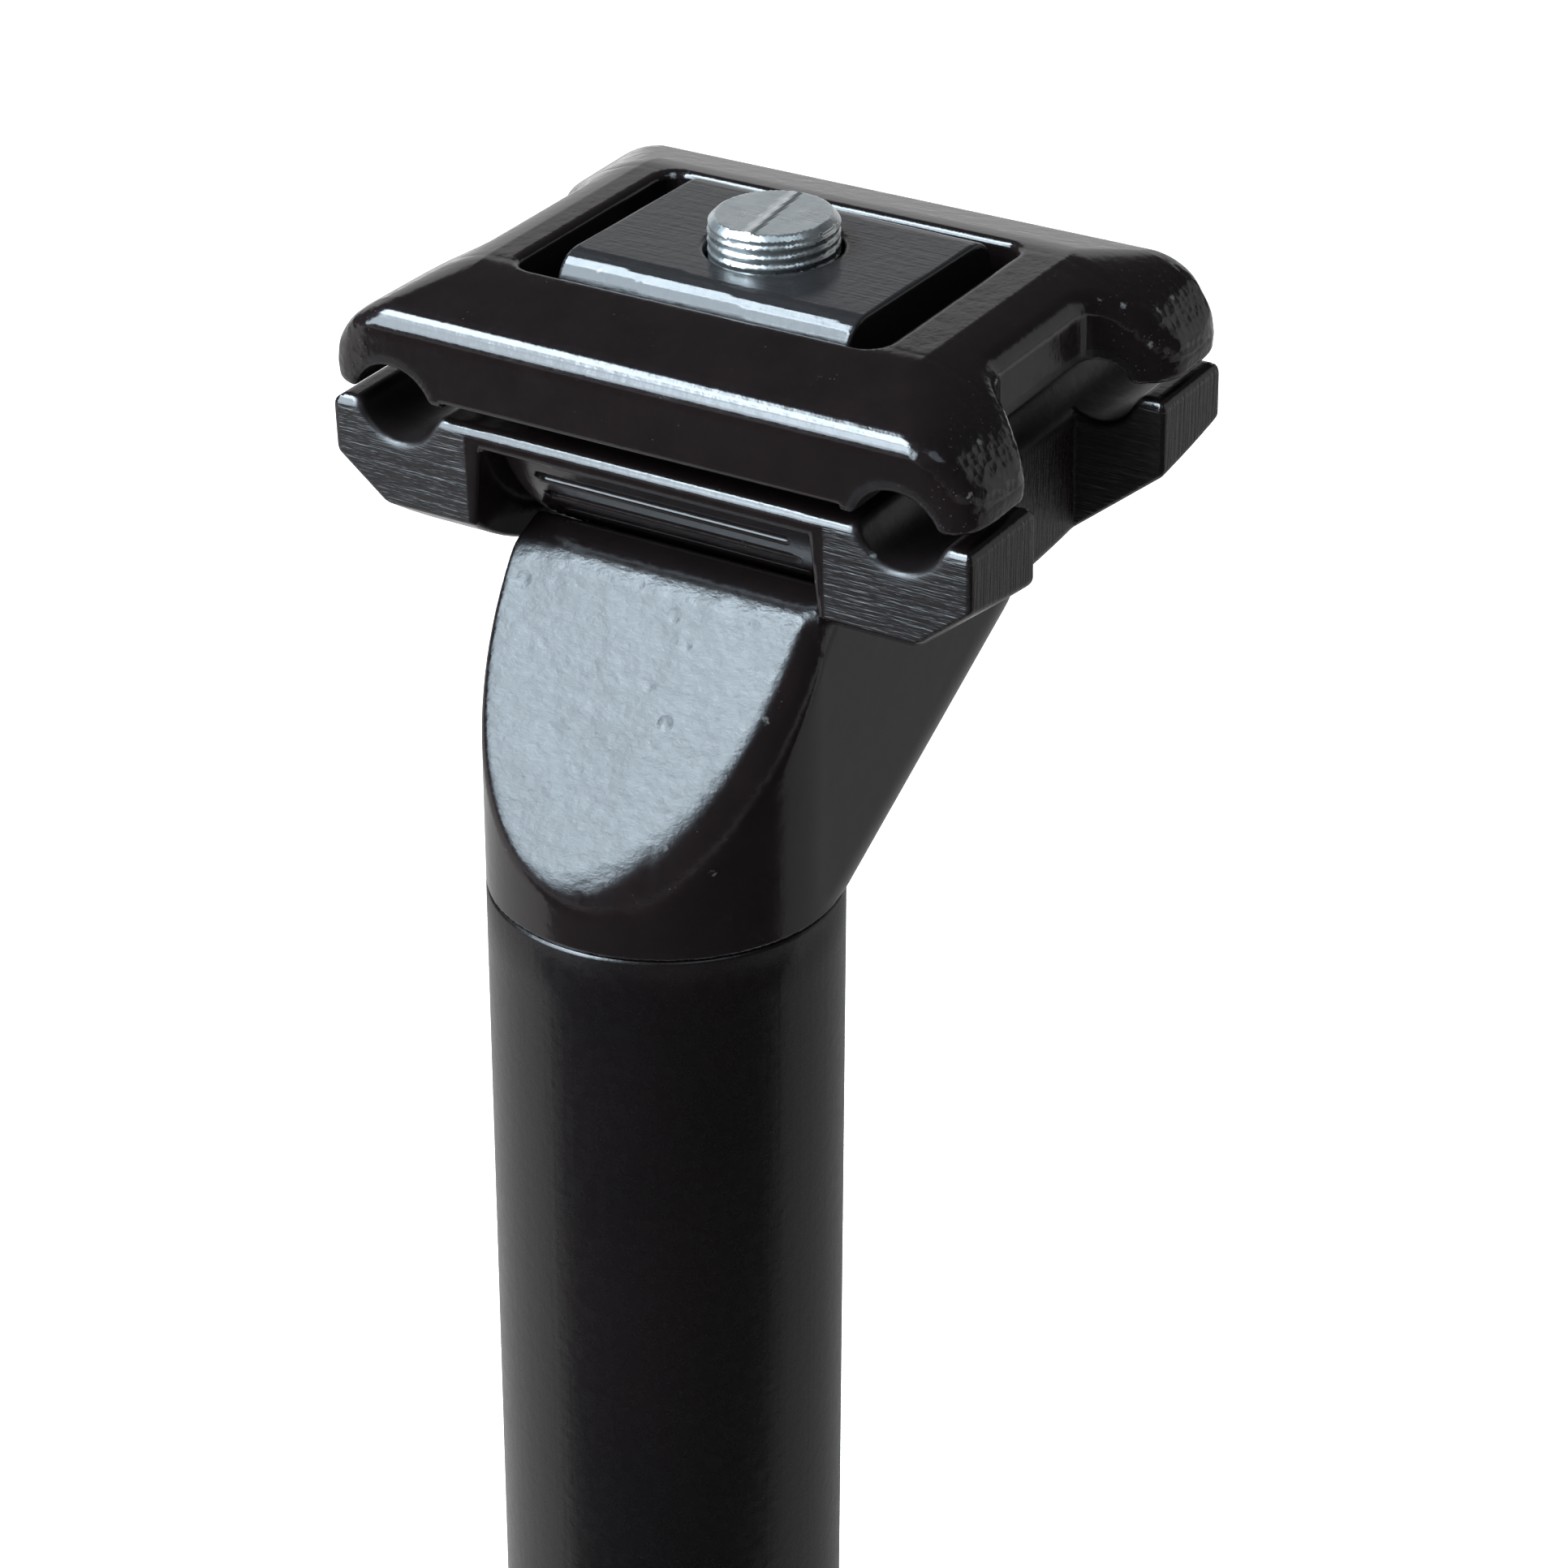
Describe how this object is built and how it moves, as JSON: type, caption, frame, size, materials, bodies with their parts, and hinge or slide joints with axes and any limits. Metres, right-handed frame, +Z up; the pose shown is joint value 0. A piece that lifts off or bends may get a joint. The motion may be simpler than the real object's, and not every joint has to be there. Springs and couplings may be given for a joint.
{
  "type": "suspension seatpost",
  "caption": "Telescoping suspension seatpost: a black post slides on a coil spring in an outer tube, with a set-back forged head and a single-bolt two-piece saddle rail clamp.",
  "frame": {"origin": "on the post's axis, at the bottom end of the outer tube", "axes": "+Z up along the post, +X towards the front of the bicycle, +Y to the side; the part is mirror symmetric about the XZ plane apart from the spring's coil"},
  "size_m": [0.0544, 0.0556, 0.3683],
  "materials": {
    "forged_black": "gloss black paint over a forged and shot-blasted aluminium surface",
    "tube_black": "satin black anodised drawn aluminium tube",
    "bar_black": "black oxide steel bar, smooth",
    "zinc": "bright zinc plate",
    "plain_steel": "machined steel",
    "spring_steel": "oil-hardened spring steel, dark",
    "rubber": "moulded black rubber",
    "acetal": "machined black acetal",
    "elastomer": "amber polyurethane elastomer"
  },
  "bodies": {
    "casing": {"outer_tube": "tube_black", "collar_nut": "forged_black", "wiper_seal": "rubber", "collar_o_ring": "rubber", "upper_bushing": "acetal", "stop_sleeve": "plain_steel", "slide_key_right": "plain_steel", "slide_key_left": "plain_steel", "plug_retaining_ring": "spring_steel", "main_spring": "spring_steel"},
    "preload_stack": {"guide_pin": "plain_steel", "lower_spring_washer": "plain_steel", "bottom_out_bumper": "elastomer"},
    "preload_screw": {"preload_plug": "plain_steel", "plug_o_ring": "rubber"},
    "slider": {"stanchion": "tube_black", "seat_head": "forged_black", "lower_bushing": "acetal", "top_out_bumper": "rubber", "foot_plug": "plain_steel", "upper_spring_washer": "plain_steel"},
    "clamp_base": {"lower_cradle": "forged_black", "saddle_washer": "plain_steel", "bolt_washer": "zinc"},
    "clamp_screw": {"clamp_bolt": "zinc"},
    "clamp_top": {"upper_clamp_plate": "forged_black", "clamp_nut_bar": "bar_black"}
  },
  "joints": [
    {"name": "suspension_slide", "type": "slide", "parent": "casing", "child": "slider", "axis": [0, 0, -1], "range_m": [0, 0.05], "stiffness_N_per_m": 10500, "springref_m": -0.012, "deforming": ["main_spring"]},
    {"name": "preload_travel", "type": "slide", "parent": "casing", "child": "preload_stack", "axis": [0, 0, 1], "range_m": [0, 0.004], "deforming": ["main_spring"]},
    {"name": "preload_turn", "type": "hinge", "parent": "preload_stack", "child": "preload_screw", "pos_m": [0, 0, 0.01], "axis": [0, 0, 1], "range_deg": [0, 720]},
    {"name": "clamp_tilt", "type": "hinge", "parent": "slider", "child": "clamp_base", "pos_m": [-0.01538, 0, 0.36016], "axis": [0, 1, 0], "range_deg": [-10, 10]},
    {"name": "bolt_turn", "type": "hinge", "parent": "clamp_base", "child": "clamp_screw", "pos_m": [-0.0156, 0, 0.3554], "axis": [-0.0471, 0, -0.9989], "range_deg": [0, 1080]},
    {"name": "plate_lift", "type": "slide", "parent": "clamp_base", "child": "clamp_top", "axis": [0.0471, 0, 0.9989], "range_m": [0, 0.0045]}
  ],
  "couplings": [
    {"joint": "preload_turn", "follows": "preload_travel", "rad_per_m": 3141.6},
    {"joint": "bolt_turn", "follows": "plate_lift", "rad_per_m": 4188.8}
  ]
}
